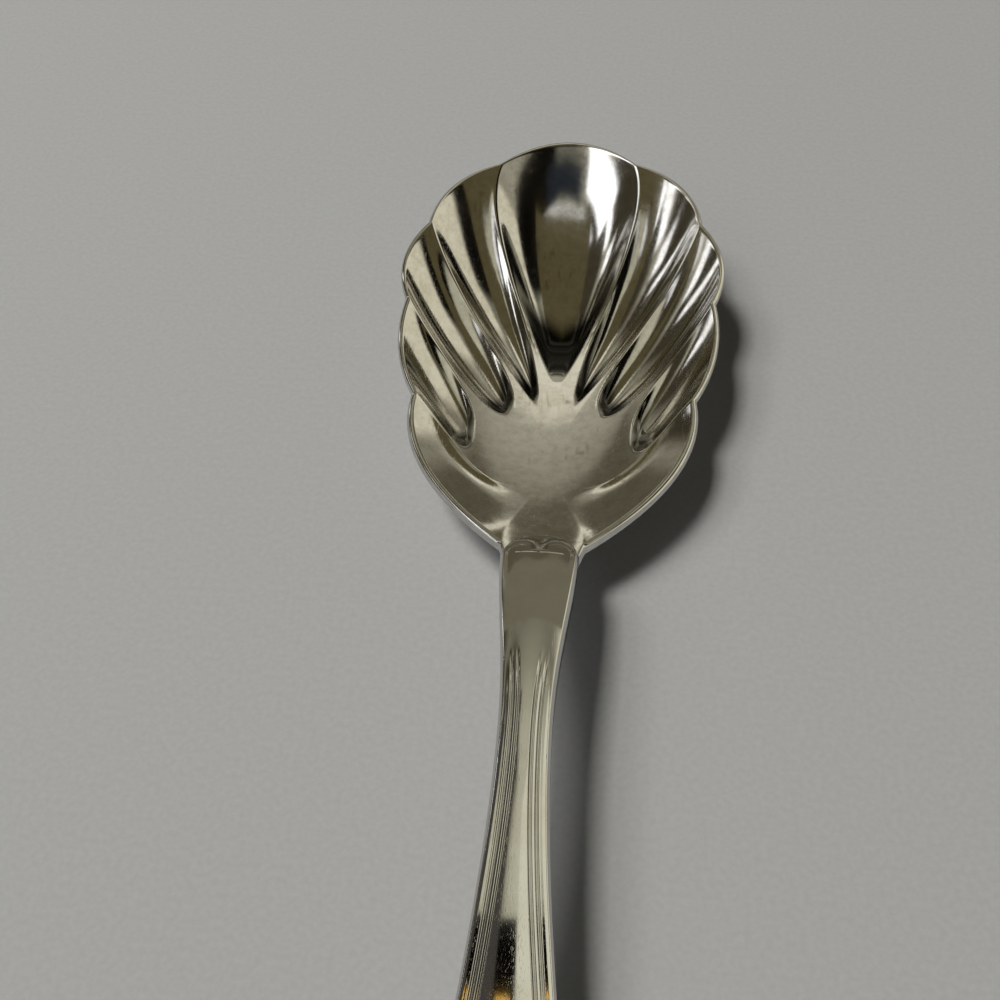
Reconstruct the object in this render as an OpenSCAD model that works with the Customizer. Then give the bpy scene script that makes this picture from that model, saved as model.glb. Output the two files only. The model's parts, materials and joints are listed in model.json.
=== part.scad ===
// Sugar spoon with a fluted shell bowl, a struck handle and a brazed lap joint.
// Millimetres. +Y runs along the spoon to the tip of the bowl, +X is right, +Z is up.
// The spoon lies on z = 0, with the middle of its length and width at the origin.

/* [Bowl] */
// Length of the bowl inside, from its heel edge to its tip
bowl_l = 60.3; // [54:0.1:70]
// Width of the bowl inside, across its widest lobes
bowl_w = 38.8; // [34:0.1:46]
// Depth inside, from the rim beside the deepest place to the floor of the middle flute
bowl_depth = 10.2; // [8.5:0.1:12]
// Rise of the rim from the heel to the tip
rim_rise = 5.2; // [3:0.1:7]
// Thickness of the metal at the heel
heel_t = 1.6; // [1.3:0.05:2]
// Thickness of the metal at the floor and up the walls
wall_t = 1.15; // [0.9:0.05:1.4]
// Thickness of the rim, which is ground thinner after pressing
rim_t = 0.85; // [0.7:0.05:1.1]
// Length over which the metal thins to the rim
rim_thin_l = 6; // [4:0.5:9]

/* [Flutes] */
// Depth of the middle flute below the palm, where it starts
mid_flute_d = 2.4; // [1.5:0.05:2.8]
// Depth of the three flutes on each side, where they start
side_flute_d = 1.4; // [0.8:0.05:1.8]
// Depth of the shallow flute on each side of the heel
heel_flute_d = 0.3; // [0.2:0.05:0.8]
// Length of the drop from the palm into the middle flute
mid_drop_l = 8; // [5:0.5:10]
// Length of the drop from the palm into the other flutes
side_drop_l = 3.2; // [2:0.1:5]
// Length of the drop from the palm into the shallow flutes of the heel
heel_drop_l = 28; // [15:1:34]
// Length over which a finger of the palm thins to a crest
finger_l = 9; // [6:0.5:14]

/* [Handle] */
// Length of the handle behind the heel edge of the bowl
handle_l = 91; // [80:0.5:105]
// Width of the handle where it meets the bowl
root_w = 8.2; // [7:0.1:9]
// Width of the neck
neck_w = 5; // [4.4:0.1:6]
// Distance from the heel edge to the neck
neck_at = 22.5; // [18:0.5:30]
// Greatest width, near the end
end_w = 14.8; // [12:0.1:18]
// Length of the rounded end
end_l = 11; // [8:0.5:14]
// Thickness at the bowl
root_t = 3.9; // [3.4:0.05:4.4]
// Thickness of the flat of the handle
blade_t = 2; // [1.6:0.05:2.6]
// Height of the pull that arches the handle
arch_pull = 15; // [11:0.5:18]
// Rise of the crown above the edges at the bowl
root_crown = 0.8; // [0.4:0.05:1]
// Rise of the crown above the edges near the end
blade_crown = 0.45; // [0.2:0.05:0.7]

/* [Lap joint] */
// Reach of the handle's lip over the bowl
lip_reach = 0.8; // [0.5:0.1:1.4]
// Length of the rounded front of the lip
lip_round_l = 3.6; // [3:0.1:4.5]
// Length of the bowl's tongue under the handle
tongue_l = 4.5; // [3.5:0.1:6]
// Width of the tongue at its end
tongue_w = 6.6; // [5:0.1:7]
// How far the heel of the bowl stands out on each side of the handle
heel_step = 0.3; // [0.1:0.05:0.6]
// Thickness of the braze between the two pieces
braze_t = 0.1; // [0.06:0.01:0.15]
// Leg of the braze fillet round the lip
fillet_leg = 0.3; // [0.15:0.05:0.4]

/* [Threads] */
// Width of the outer bead along the edge
bead_w = 0.95; // [0.7:0.05:1.2]
// Width of each groove
groove_w = 0.38; // [0.25:0.01:0.5]
// Width of the fine inner thread
thread_w = 0.22; // [0.15:0.01:0.35]
// Depth of the grooves
groove_d = 0.32; // [0.15:0.01:0.45]
// Rounding of the top edge
edge_r = 0.35; // [0.2:0.05:0.5]
// Rounding of the lower edge
under_r = 0.45; // [0.25:0.05:0.6]
// Distance from the heel edge at which the threads start
thread_at = 14.5; // [10:0.5:18]
// Length over which the threads rise to full depth
thread_fade = 6; // [3:0.5:10]

/* [Hidden] */

// Shares of the bowl's length and half width, chosen by hand, for the right half.
// Entry 0 is the crest beside the middle flute; the last one is the heel corner.
notch_along_shares = [0.933, 0.762, 0.556, 0.322, 0];
notch_out_shares = [0.453, 0.869, 0.941, 0.819];
rim_pull_along_shares = [0.802, 0.604, 0.459, 0.27, 0.07];
rim_pull_out_shares = [0.634, 0.687, 0.729, 0.572, 0.179];
palm_pull_along_shares = [0.599, 0.457, 0.319, 0.09, 0.12];
palm_pull_out_shares = [0, 0.062, 0.284, 0.414, 0.1];
// How far each lobe bulges past its chord, as a share of the chord
bulge_shares = [0.23, 0.154, 0.143, 0.09];
// Pull of the heel lobe's outline, as shares of the half width and the length
heel_lobe_out_shares = [0.884, 0.574];
heel_lobe_along_shares = [0.194, 0.083];
// Where each flute starts, as a share of its line from the palm to the rim
start_shares = [0.25, 0.245, 0.331, 0.472, 0.3];
// Depth of each flute at the rim, as a share of its lobe's bulge
rim_depth_shares = [0.65, 0.95, 1, 1, 0.5];
// How much each flute's floor is flattened between steeper walls
flat_shares = [1.2, 0.5, 0.5, 0.5, 0];
// Middle of the dish, and its reach to the tip, as shares of the length
dish_mid_share = 0.51;
dish_tip_share = 0.478;
// Middle of the fan that the flutes spread from, as a share of the length
fan_share = 0.18;
// Half width of the dish as a share of the half width of the bowl
dish_out_share = 0.924;
dish_power = 2.2;

half_w = bowl_w / 2;
dish_mid = bowl_l * dish_mid_share;
rim_slope = rim_rise / bowl_l;
flute_count = 4;
// The middle flute and the end of the handle are worn flat where the spoon lies on them
bowl_sink = wall_t * 0.52;
rest_sink = wall_t * 0.36;
dish_floor = wall_t + mid_flute_d - bowl_sink;
// Height of the rim beside the deepest place, and at the heel
rim_mid = wall_t + bowl_depth;
heel_z = rim_mid - rim_slope * dish_mid;
heel_half = root_w / 2 + heel_step;
heel_slope = (heel_z - dish_floor) * dish_power / dish_mid - rim_slope;
reach = bowl_l * (1 - fan_share);
finger_share = finger_l / reach;

// Distance from the edge of the handle to the far side of the second groove
border_w = bead_w + 2 * groove_w + thread_w;
lip_mid = lip_round_l - lip_reach;
end_mid = handle_l - end_l;
// The end is cut square where its outline has turned all but this angle
first_angle = 8;
end_reach = end_mid + end_l * cos(first_angle);
shoulder = tongue_l + braze_t;
under_z = heel_z + heel_slope * shoulder - heel_t;
end_pull = blade_t * 1.7;
step_gap = braze_t / 2;

// Mesh counts
lobe_steps = 8;
heel_steps = 4;
lip_rows = 8;
side_rows = 42;
end_rows = 12;

function ease(q) = let (c = min(1, max(0, q))) c * c * (3 - 2 * c);
function unit(p) = p / norm(p);
function mix(a, b, t) = a + (b - a) * t;
function bezier(a, b, c, d, t) =
    let (r = 1 - t) a * r * r * r + b * 3 * t * r * r + c * 3 * t * t * r + d * t * t * t;

// A crest's three points in plan: the pull near the palm, the pull near the rim and the notch
function notch(k) = k < flute_count
    ? [notch_out_shares[k] * half_w, notch_along_shares[k] * bowl_l] : [heel_half, 0];
function palm_pull(k) = [palm_pull_out_shares[k] * half_w, palm_pull_along_shares[k] * bowl_l];
function rim_pull(k) = [rim_pull_out_shares[k] * half_w, rim_pull_along_shares[k] * bowl_l];
function flip(p) = [-p.x, p.y];
// Crest k runs from -4 to 4 without 0's mirror: crest -1 is the left partner of crest 0
function side(k, p) = k < 0 ? flip(p) : p;
function crest_index(k) = k < 0 ? -k - 1 : k;
function notch_at(k) = side(k, notch(crest_index(k)));
function palm_pull_at(k) = side(k, palm_pull(crest_index(k)));
function rim_pull_at(k) = side(k, rim_pull(crest_index(k)));

// Flute f runs from -4 at the left heel to 4 at the right heel; it lies between crests f-1 and f
function heel_pull(i) = [heel_lobe_out_shares[i] * half_w, heel_lobe_along_shares[i] * bowl_l];
function heel_outline(t) = bezier(notch(3), heel_pull(0), heel_pull(1), notch(4), t);
function bulge(f) = abs(f) < flute_count
    ? bulge_shares[abs(f)] * norm(notch_at(f) - notch_at(f - 1)) : 0;
function outward(f) = let (c = unit(notch_at(f) - notch_at(f - 1))) [-c.y, c.x];
function lobe_form(t) = 4 * t * (1 - t);
function rim_point(f, t) =
    f == flute_count ? heel_outline(t)
    : f == -flute_count ? flip(heel_outline(1 - t))
    : mix(notch_at(f - 1), notch_at(f), t) + outward(f) * bulge(f) * lobe_form(t);
function chord_point(f, t) = abs(f) == flute_count ? rim_point(f, t) : mix(notch_at(f - 1), notch_at(f), t);

fan = [0, fan_share * bowl_l];
function line_point(f, t, s, end) = bezier(fan,
    mix(palm_pull_at(f - 1), palm_pull_at(f), t),
    mix(rim_pull_at(f - 1), rim_pull_at(f), t), end, s);

// The smooth dish. p is [across, distance from the heel edge]; behind the heel it is the tongue
function rim_z(p) = heel_z + rim_slope * p.y;
function dish_reach(v) = v < dish_mid ? dish_mid : bowl_l * dish_tip_share;
function dish_r(p) = norm([p.x / (half_w * dish_out_share), (p.y - dish_mid) / dish_reach(p.y)]);
function dish_z(p) = p.y >= 0
    ? mix(dish_floor, rim_z(p), pow(dish_r(p), dish_power))
    : dish_z([p.x, 0]) - heel_slope * p.y;
// The notches are brought to the rim's height, fading out towards the palm
function rim_fix(f, t) = let (c = chord_point(f, t)) rim_z(c) - dish_z(c);
fix_power = 4;
function base_z(f, t, s, p) = dish_z(p) + rim_fix(f, t) * pow(s, fix_power);

// Flutes: a rounded channel between two crests, with a rounded start at the palm
function palm_depth(f) = f == 0 ? mid_flute_d : abs(f) == flute_count ? heel_flute_d : side_flute_d;
function rim_depth(f) = abs(f) < flute_count
    ? bulge(f) * rim_depth_shares[abs(f)] : heel_flute_d * rim_depth_shares[flute_count];
function drop_share(f) =
    (f == 0 ? mid_drop_l : abs(f) == flute_count ? heel_drop_l : side_drop_l) / reach;
channel_power = 1.15;
function channel(f, a) = pow(1 - a * a, channel_power) * (1 + flat_shares[abs(f)] * a * a);
function flute_depth(f, t, s) =
    let (q = s - start_shares[abs(f)])
    q <= 0 ? 0 :
    let (w = sqrt(1 - exp(-q / finger_share * 2)), a = (2 * t - 1) / w)
    abs(a) >= 1 ? 0 :
    channel(f, a) * ease(q / drop_share(f))
        * mix(palm_depth(f), rim_depth(f), ease(q / (1 - start_shares[abs(f)])));
// What is left to bring the whole rim to its plane
function rim_rest(f, t) =
    let (e = rim_point(f, t)) rim_z(e) - base_z(f, t, 1, e) + flute_depth(f, t, 1);
rest_power = 6;
function inner_z(f, t, s, p) =
    base_z(f, t, s, p) - flute_depth(f, t, s) + rim_rest(f, t) * pow(s, rest_power);

// The metal's thickness is laid off along the smooth dish's own normal
function metal_t(v) = mix(heel_t, wall_t, ease(v / dish_mid));
function rim_thinning(s) = (wall_t - rim_t) * ease(1 - (1 - s) * reach / rim_thin_l);
probe = 0.01 * bowl_l;
function dish_normal(p) = unit([
    -(dish_z(p + [probe, 0]) - dish_z(p - [probe, 0])) / (2 * probe),
    -(dish_z(p + [0, probe]) - dish_z(p - [0, probe])) / (2 * probe), 1]);
// The tip's outer edge stands past the inner one by the wall's lean there
tip_over = -dish_normal([0, bowl_l]).y * rim_t;
heel_y = (end_reach - bowl_l - tip_over) / 2;
function spoon_point(p, z) = [p.x, heel_y + p.y, z];
function under_point(p, z, t) =
    let (n = dish_normal(p), q = spoon_point(p, z) - n * t) [q.x, q.y, max(0, q.z)];

// Rows from the fan's middle to the rim, closer together where the flutes start
palm_rows = 4;
start_rows = 13;
wall_rows = 9;
bowl_rows = palm_rows + start_rows + wall_rows;
palm_share = 0.25;
start_end_share = 0.62;
function row_share(i) = i <= palm_rows ? palm_share * i / palm_rows
    : i <= palm_rows + start_rows ? mix(palm_share, start_end_share, (i - palm_rows) / start_rows)
    : mix(start_end_share, 1, (i - palm_rows - start_rows) / wall_rows);

// The heel sector's rim is the end of the tongue
function tongue_point(t) = mix([tongue_w / 2, -tongue_l], [-tongue_w / 2, -tongue_l], t);
function heel_line(t, s) = bezier(fan, mix(palm_pull(flute_count), flip(palm_pull(flute_count)), t),
    mix([tongue_w / 2, 0], [-tongue_w / 2, 0], t), tongue_point(t), s);

// One column of the bowl: points along one line of the fan, each with the metal's thickness there
function lobe_column(f, t) = [for (i = [1:bowl_rows])
    let (s = row_share(i), p = line_point(f, t, s, rim_point(f, t)))
        [p.x, p.y, inner_z(f, t, s, p), metal_t(p.y) - rim_thinning(s)]];
function heel_column(t) = [for (i = [1:bowl_rows])
    let (p = heel_line(t, row_share(i))) [p.x, p.y, dish_z(p), metal_t(p.y)]];
bowl_columns = concat(
    [for (f = [-flute_count:flute_count], j = [0:lobe_steps - 1]) lobe_column(f, j / lobe_steps)],
    [lobe_column(flute_count, 1)],
    [for (j = [0:heel_steps]) heel_column(j / heel_steps)]);

module bowl() {
    columns = bowl_columns;
    n = len(columns);
    m = bowl_rows;
    inside = [for (c = columns, q = c) spoon_point([q.x, q.y], q.z)];
    outside = [for (c = columns, q = c) under_point([q.x, q.y], q.z, q[3])];
    middle_in = n * m * 2;
    middle_out = middle_in + 1;
    points = concat(inside, outside,
        [spoon_point(fan, dish_z(fan)), under_point(fan, dish_z(fan), metal_t(fan.y))]);
    function at(i, j) = (i % n) * m + j;
    faces = concat(
        [for (i = [0:n - 1], j = [0:m - 2]) each [
            [at(i, j), at(i, j + 1), at(i + 1, j + 1)],
            [at(i, j), at(i + 1, j + 1), at(i + 1, j)]]],
        [for (i = [0:n - 1]) [middle_in, at(i, 0), at(i + 1, 0)]],
        [for (i = [0:n - 1], j = [0:m - 2]) each [
            [n * m + at(i, j), n * m + at(i + 1, j + 1), n * m + at(i, j + 1)],
            [n * m + at(i, j), n * m + at(i + 1, j), n * m + at(i + 1, j + 1)]]],
        [for (i = [0:n - 1]) [middle_out, n * m + at(i + 1, 0), n * m + at(i, 0)]],
        [for (i = [0:n - 1]) each [
            [at(i, m - 1), n * m + at(i, m - 1), n * m + at(i + 1, m - 1)],
            [at(i, m - 1), n * m + at(i + 1, m - 1), at(i + 1, m - 1)]]]);
    color([0.74, 0.73, 0.70]) polyhedron(points, faces);
}

// The handle. h is the distance behind the bowl's heel edge
function half_width(h) = (h < neck_at
    ? mix(root_w, neck_w, (1 - cos(180 * max(0, h) / neck_at)) / 2)
    : mix(neck_w, end_w, (1 - cos(180 * min(1, (h - neck_at) / (end_mid - neck_at)))) / 2)) / 2;
// Outline of the right half, from the front of the lip (u = 0) by the side (1 to 2) to the end (3)
function outline(u) = u <= 1
    ? let (a = mix(first_angle, 90, u))
        [half_width(lip_mid) * sin(a), lip_mid - lip_round_l * cos(a)]
    : u <= 2
    ? let (h = mix(lip_mid, end_mid, u - 1)) [half_width(h), h]
    : let (a = mix(90, first_angle, u - 2)) [end_w / 2 * sin(a), end_mid + end_l * cos(a)];
outline_probe = 0.002;
function outline_inward(u) =
    let (c = unit(outline(min(3, u + outline_probe)) - outline(max(0, u - outline_probe)))) [-c.y, c.x];
function inset_point(u, d) = outline(u) + outline_inward(u) * d;

// Underside along the middle, thickness and crown
function under_mid(h) = let (t = (h - shoulder) / (handle_l - shoulder))
    t < 0 ? under_z - heel_slope * (shoulder - h)
    : bezier(under_z, arch_pull, end_pull, -rest_sink, t);
function thickness(h) = mix(root_t, blade_t, ease((h - lip_mid) / (handle_l * 0.62)))
    - heel_t * 0.3 * ease((lip_mid - h) / lip_round_l);
function crown(h) = mix(root_crown, blade_crown, ease(h / neck_at / 2));
function crown_z(p) = under_mid(p.y) + thickness(p.y)
    - crown(p.y) * pow(p.x / half_width(p.y), 2);

// Depth cut into the crown at a distance d from the edge: bead, groove, thread, groove
edge_scale_w = neck_w * 0.46;
bed_share = 0.3;
function groove(d, start) = mix(bed_share, 1, sin(180 * (d - start) / groove_w));
function bead_slope(d) = bed_share * ease((d - bead_w / 2) / (bead_w / 2));
function edge_round(d) = edge_r * (1 - sin(90 * min(1, d / edge_r)));
function thread_form(d) =
    let (thread_start = bead_w + groove_w, second_start = thread_start + thread_w)
    d < bead_w ? bead_slope(d)
    : d < thread_start ? groove(d, bead_w)
    : d < second_start ? bed_share
    : d < border_w ? groove(d, second_start) : 0;
function relief(d, h) = edge_round(d) + groove_d * thread_form(d) * ease((h - thread_at) / thread_fade);

// Two rounded lobes end the handle at the bowl, with a low crescent in front of them
lobe_out = root_w * 0.235;
lobe_r = root_w * 0.24;
lobe_back = lip_mid * 0.9;
lobe_step = root_w * 0.045;
lobe_valley = root_w * 0.02;
lobe_fade = root_w * 0.6;
function lobe_distance(p) = p.y > lobe_back ? -lobe_r : norm([abs(p.x) - lobe_out, p.y - lobe_back]) - lobe_r;
function lobe_relief(p) = lobe_step * ease(lobe_distance(p) / lobe_step / 2 + 0.5)
    + lobe_valley * exp(-pow(p.x / lobe_out * 2, 2)) * (1 - ease(p.y / lobe_fade));

top_insets = [0, 0.3 * edge_r, edge_r, bead_w / 2, bead_w, bead_w + groove_w / 2, bead_w + groove_w,
    bead_w + groove_w + thread_w, border_w - groove_w / 2, border_w];
under_insets = [0, 0.35 * under_r, under_r];
across_shares = [0.75, 0.5, 0.25, 0, -0.25, -0.5, -0.75];

function top_z(p, d) = crown_z(p) - relief(d, p.y) - lobe_relief(p);
function seat_z(p) = dish_z([p.x, -p.y]) + braze_t;
function under_side_z(p, d) = max(0, under_mid(p.y) + under_r * (1 - sin(90 * min(1, d / under_r)))
    + blade_crown * 0.5 * pow(p.x / half_width(p.y), 2));

function handle_point(p, z) = [p.x, heel_y - p.y, z];
// A row is [place on the outline, whether it lies in the rebate over the tongue]
function side_place(h) = 1 + (h - lip_mid) / (end_mid - lip_mid);
rows = concat(
    [for (i = [0:lip_rows]) [i / lip_rows, true]],
    [[side_place(mix(lip_mid, shoulder, 0.5)), true], [side_place(shoulder), true]],
    [for (i = [0:side_rows]) [mix(side_place(shoulder + step_gap), 2, i / side_rows), false]],
    [for (i = [1:end_rows]) [2 + i / end_rows, false]]);

function fit_inset(u, d) = d * min(1, outline(u).x / edge_scale_w + (u < 1 || u > 2 ? 1 : 0));
function half_top(u) = [for (d = top_insets)
    let (p = inset_point(u, fit_inset(u, d))) [p.x, p.y, top_z(p, d)]];
function half_under(u, lap) = [for (d = under_insets)
    let (p = inset_point(u, fit_inset(u, d))) [p.x, p.y, lap ? seat_z(p) : under_side_z(p, d)]];
function across_top(u) = let (e = inset_point(u, fit_inset(u, border_w)))
    [for (a = across_shares) let (p = [-a * e.x, e.y]) [p.x, p.y, top_z(p, border_w)]];
function across_under(u, lap) = let (e = inset_point(u, fit_inset(u, under_r)))
    [for (a = across_shares) let (p = [a * e.x, e.y])
        [p.x, p.y, lap ? seat_z(p) : under_side_z(p, under_r)]];
function mirrored(list) = [for (q = list) [-q.x, q.y, q.z]];
function reversed(list) = [for (i = [len(list) - 1:-1:0]) list[i]];

// One ring of the handle: across the top from left to right, then back under it
function ring(row) = [for (q = concat(
    mirrored(half_top(row[0])), across_top(row[0]), reversed(half_top(row[0])),
    half_under(row[0], row[1]), across_under(row[0], row[1]), reversed(mirrored(half_under(row[0], row[1])))))
    handle_point([q.x, q.y], q.z)];

// A closed piece lofted through rings, each across the top and back under. A ring has a points
// on each side of the top, b on each side under, and c in the middle of both. Its two ends are
// closed by strips from each point to its mirror image, because the end rings fold back there
module loft(rings, a, b, c) {
    n = len(rings);
    m = 2 * (a + b + c);
    function at(i, j) = i * m + (j % m);
    // Places in a ring: j-th point from the edge, top and under, left and right
    function top_left(j) = j;
    function top_right(j) = 2 * a + c - 1 - j;
    function under_right(j) = 2 * a + c + j;
    function under_left(j) = m - 1 - j;
    function top_strip(i, j) = j < a - 2
        ? [at(i, top_left(j)), at(i, top_left(j + 1)), at(i, top_right(j + 1)), at(i, top_right(j))]
        : [for (k = [j:top_right(j)]) at(i, k)];
    function under_strip(i, j) = j < b - 2
        ? [at(i, under_right(j)), at(i, under_right(j + 1)), at(i, under_left(j + 1)), at(i, under_left(j))]
        : [for (k = [under_right(j):under_left(j)]) at(i, k)];
    function cap(i) = concat([for (j = [0:a - 2]) top_strip(i, j)], [for (j = [0:b - 2]) under_strip(i, j)],
        [[at(i, top_right(0)), at(i, under_right(0)), at(i, under_left(0)), at(i, top_left(0))]]);
    faces = concat(
        [for (i = [0:n - 2], j = [0:m - 1]) each [
            [at(i, j), at(i + 1, j + 1), at(i + 1, j)],
            [at(i, j), at(i, j + 1), at(i + 1, j + 1)]]],
        [for (f = cap(0)) reversed(f)],
        cap(n - 1));
    polyhedron([for (r = rings, q = r) q], faces);
}
module handle() {
    color([0.70, 0.69, 0.66])
        loft([for (row = rows) ring(row)], len(top_insets), len(under_insets), len(across_shares));
}

// The braze: a thin layer between the lip and the bowl, with a fillet round the lip's front
seam_lip_rows = 12;
seam_side_rows = 3;
seam_margin = braze_t;
seam_edge = braze_t * 0.2;
function tongue_half(h) = mix(heel_half, tongue_w / 2, max(0, h) / tongue_l);
function seam_inset(u) = let (p = outline(u)) max(0, p.x - tongue_half(p.y) + seam_margin);
function seam_leg(u) = mix(fillet_leg, seam_edge, ease(outline(u).y / (lip_mid / 2)));
function seam_side(u, d, lift) = let (p = inset_point(u, d)) [p.x, p.y, dish_z([p.x, -p.y]) + lift];
function seam_top(u) = let (d = seam_inset(u)) [
    seam_side(u, d - seam_leg(u), seam_edge),
    seam_side(u, d, braze_t + seam_leg(u)),
    seam_side(u, d, braze_t)];
function seam_under(u) = let (d = seam_inset(u)) [seam_side(u, d - seam_leg(u), 0), seam_side(u, d, 0)];
function seam_across(u, sign, lift) = let (e = inset_point(u, seam_inset(u)))
    [for (a = across_shares) seam_lift([sign * a * e.x, e.y], lift)];
function seam_lift(p, lift) = [p.x, p.y, dish_z([p.x, -p.y]) + lift];
seam_places = concat([for (i = [0:seam_lip_rows]) i / seam_lip_rows],
    [for (i = [1:seam_side_rows]) side_place(mix(lip_mid, tongue_l, i / seam_side_rows))]);
function seam_ring(u) = [for (q = concat(
    mirrored(seam_top(u)), seam_across(u, -1, braze_t), reversed(seam_top(u)),
    seam_under(u), seam_across(u, 1, 0), reversed(mirrored(seam_under(u)))))
    handle_point([q.x, q.y], q.z)];
module braze_seam() {
    color([0.50, 0.48, 0.45]) loft([for (u = seam_places) seam_ring(u)], 3, 2, len(across_shares));
}

bowl();
handle();
braze_seam();
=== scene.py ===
# %% [markdown]
# # A fluted sugar spoon in Blender
# A shell-shaped bowl, pressed from stainless sheet, is brazed to a struck handle with
# threaded edges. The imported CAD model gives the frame: its box, its nodes and its body.
# Blender adds the close surface: finer flutes, a rounded rim, polish, scratches and marks.

# %% The frame and the first helpers
import json
import math

import bpy
import numpy as np
from mathutils import Euler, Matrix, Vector

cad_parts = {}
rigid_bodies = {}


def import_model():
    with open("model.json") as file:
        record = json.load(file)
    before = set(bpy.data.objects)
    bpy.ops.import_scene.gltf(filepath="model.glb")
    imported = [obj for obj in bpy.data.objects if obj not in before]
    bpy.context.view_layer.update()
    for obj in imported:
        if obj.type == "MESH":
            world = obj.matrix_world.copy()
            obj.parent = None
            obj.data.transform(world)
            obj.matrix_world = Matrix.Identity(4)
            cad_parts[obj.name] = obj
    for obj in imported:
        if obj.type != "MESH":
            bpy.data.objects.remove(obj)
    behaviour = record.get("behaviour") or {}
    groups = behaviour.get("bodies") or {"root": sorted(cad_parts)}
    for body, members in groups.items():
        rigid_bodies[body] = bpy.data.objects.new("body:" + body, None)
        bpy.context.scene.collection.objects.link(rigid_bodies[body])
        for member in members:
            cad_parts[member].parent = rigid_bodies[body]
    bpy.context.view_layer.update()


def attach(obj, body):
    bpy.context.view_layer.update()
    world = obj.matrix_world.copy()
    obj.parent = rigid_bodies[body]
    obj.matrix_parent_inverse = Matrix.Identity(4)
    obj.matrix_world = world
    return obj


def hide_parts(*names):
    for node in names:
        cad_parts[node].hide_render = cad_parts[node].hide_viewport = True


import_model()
MM = 0.001


def ease(q):
    """A smooth step from 0 to 1."""
    c = np.clip(q, 0, 1)
    return c * c * (3 - 2 * c)


def mix(a, b, t):
    return a + (b - a) * t


def bezier(a, b, c, d, t):
    r = 1 - t
    return a * r**3 + b * 3 * t * r * r + c * 3 * t * t * r + d * t**3


def add(tree, kind, links=(), out=0, **settings):
    """Adds a node by its type, or a math node by its operation, with its settings and inputs.
    It gives one output, or the whole node if out is None."""
    if kind.isupper():
        kind, settings = "ShaderNodeMath", {"operation": kind}
    node = tree.nodes.new(kind)
    for name, value in settings.items():
        setattr(node, name, value)
    pairs = links.items() if isinstance(links, dict) else enumerate(links)
    for key, value in pairs:
        if isinstance(value, bpy.types.NodeSocket):
            tree.links.new(value, node.inputs[key])
        else:
            node.inputs[key].default_value = value
    return node if out is None else node.outputs[out]


def in_scene(name, data):
    """Puts a mesh, a light or a camera into the scene as an object."""
    thing = bpy.data.objects.new(name, data)
    bpy.context.scene.collection.objects.link(thing)
    return thing


def mesh_of(name, points, faces):
    mesh = bpy.data.meshes.new(name)
    mesh.from_pydata(points, [], faces)
    return mesh


# %% [markdown]
# ## The camera
# The spoon lies bowl up, seen from above the handle, a little from the right. The camera is
# made first, so that every later piece can be judged through it.

# %% Camera
camera_place = Vector((6.93, -49.28, 108.02)) * MM
camera_tilt, camera_roll, camera_heading = 35.36, 3.38, 4.87
camera_data = bpy.data.cameras.new("camera")
camera_data.lens = 40.35
camera_data.clip_start = 1 * MM
camera = in_scene("camera", camera_data)
camera.location = camera_place
camera.rotation_euler = Euler([math.radians(a) for a in (camera_tilt, camera_roll, camera_heading)])
bpy.context.scene.camera = camera
bpy.context.scene.view_settings.view_transform = "Standard"
print("camera", round(camera_place.length / MM), "mm from the middle of the spoon")

# %% [markdown]
# ## The sizes of the spoon
# These are the driving sizes of the CAD model, in millimetres, and shares of them. The
# bowl's plan is measured from its heel edge, where the handle starts: x across, v along.

# %% Sizes of the bowl
bowl_l, bowl_w, bowl_depth, rim_rise = 60.3, 38.8, 10.2, 5.2
heel_t, wall_t, rim_t, rim_thin_l = 1.6, 1.15, 0.85, 6.0
flute_depths = [2.4, 1.4, 1.4, 1.4, 0.3]
flute_drops = [8.0, 3.2, 3.2, 3.2, 28.0]
flatness_shares = [1.2, 0.5, 0.5, 0.5, 0]
finger_l = 9.0
tongue_l, tongue_w, root_w, heel_step, braze_t = 4.5, 6.6, 8.2, 0.3, 0.1
notch_along_shares = [0.933, 0.762, 0.556, 0.322, 0]
notch_out_shares = [0.453, 0.869, 0.941, 0.819]
rim_pull_along_shares = [0.802, 0.604, 0.459, 0.27, 0.07]
rim_pull_out_shares = [0.634, 0.687, 0.729, 0.572, 0.179]
palm_pull_along_shares = [0.599, 0.457, 0.319, 0.09, 0.12]
palm_pull_out_shares = [0, 0.062, 0.284, 0.414, 0.1]
bulge_shares = [0.23, 0.154, 0.143, 0.09]
heel_lobe_out_shares, heel_lobe_along_shares = [0.884, 0.574], [0.194, 0.083]
start_shares = [0.25, 0.245, 0.331, 0.472, 0.3]
rim_depth_shares = [0.65, 0.95, 1, 1, 0.5]
dish_mid_share, dish_tip_share, fan_share, dish_out_share = 0.51, 0.478, 0.18, 0.924
dish_power, fix_power, rest_power, channel_power = 2.2, 4, 6, 1.15
flute_count = 4

half_w = bowl_w / 2
dish_mid = bowl_l * dish_mid_share
dish_half = half_w * dish_out_share
rim_slope = rim_rise / bowl_l
bowl_sink, rest_sink = wall_t * 0.52, wall_t * 0.36
dish_floor = wall_t + flute_depths[0] - bowl_sink
heel_z = wall_t + bowl_depth - rim_slope * dish_mid
heel_half = root_w / 2 + heel_step
heel_slope = (heel_z - dish_floor) * dish_power / dish_mid - rim_slope
fan = np.array([0, fan_share * bowl_l])
fan_reach = bowl_l * (1 - fan_share)


def dish_height(x, v):
    """Height of the smooth dish that the flutes are pressed into; behind the heel it is the tongue."""
    on = np.maximum(v, 0)
    reach = np.where(on < dish_mid, dish_mid, bowl_l * dish_tip_share)
    r = np.hypot(x / dish_half, (on - dish_mid) / reach)
    return mix(dish_floor, heel_z + rim_slope * on, r**dish_power) - heel_slope * np.minimum(v, 0)


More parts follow.
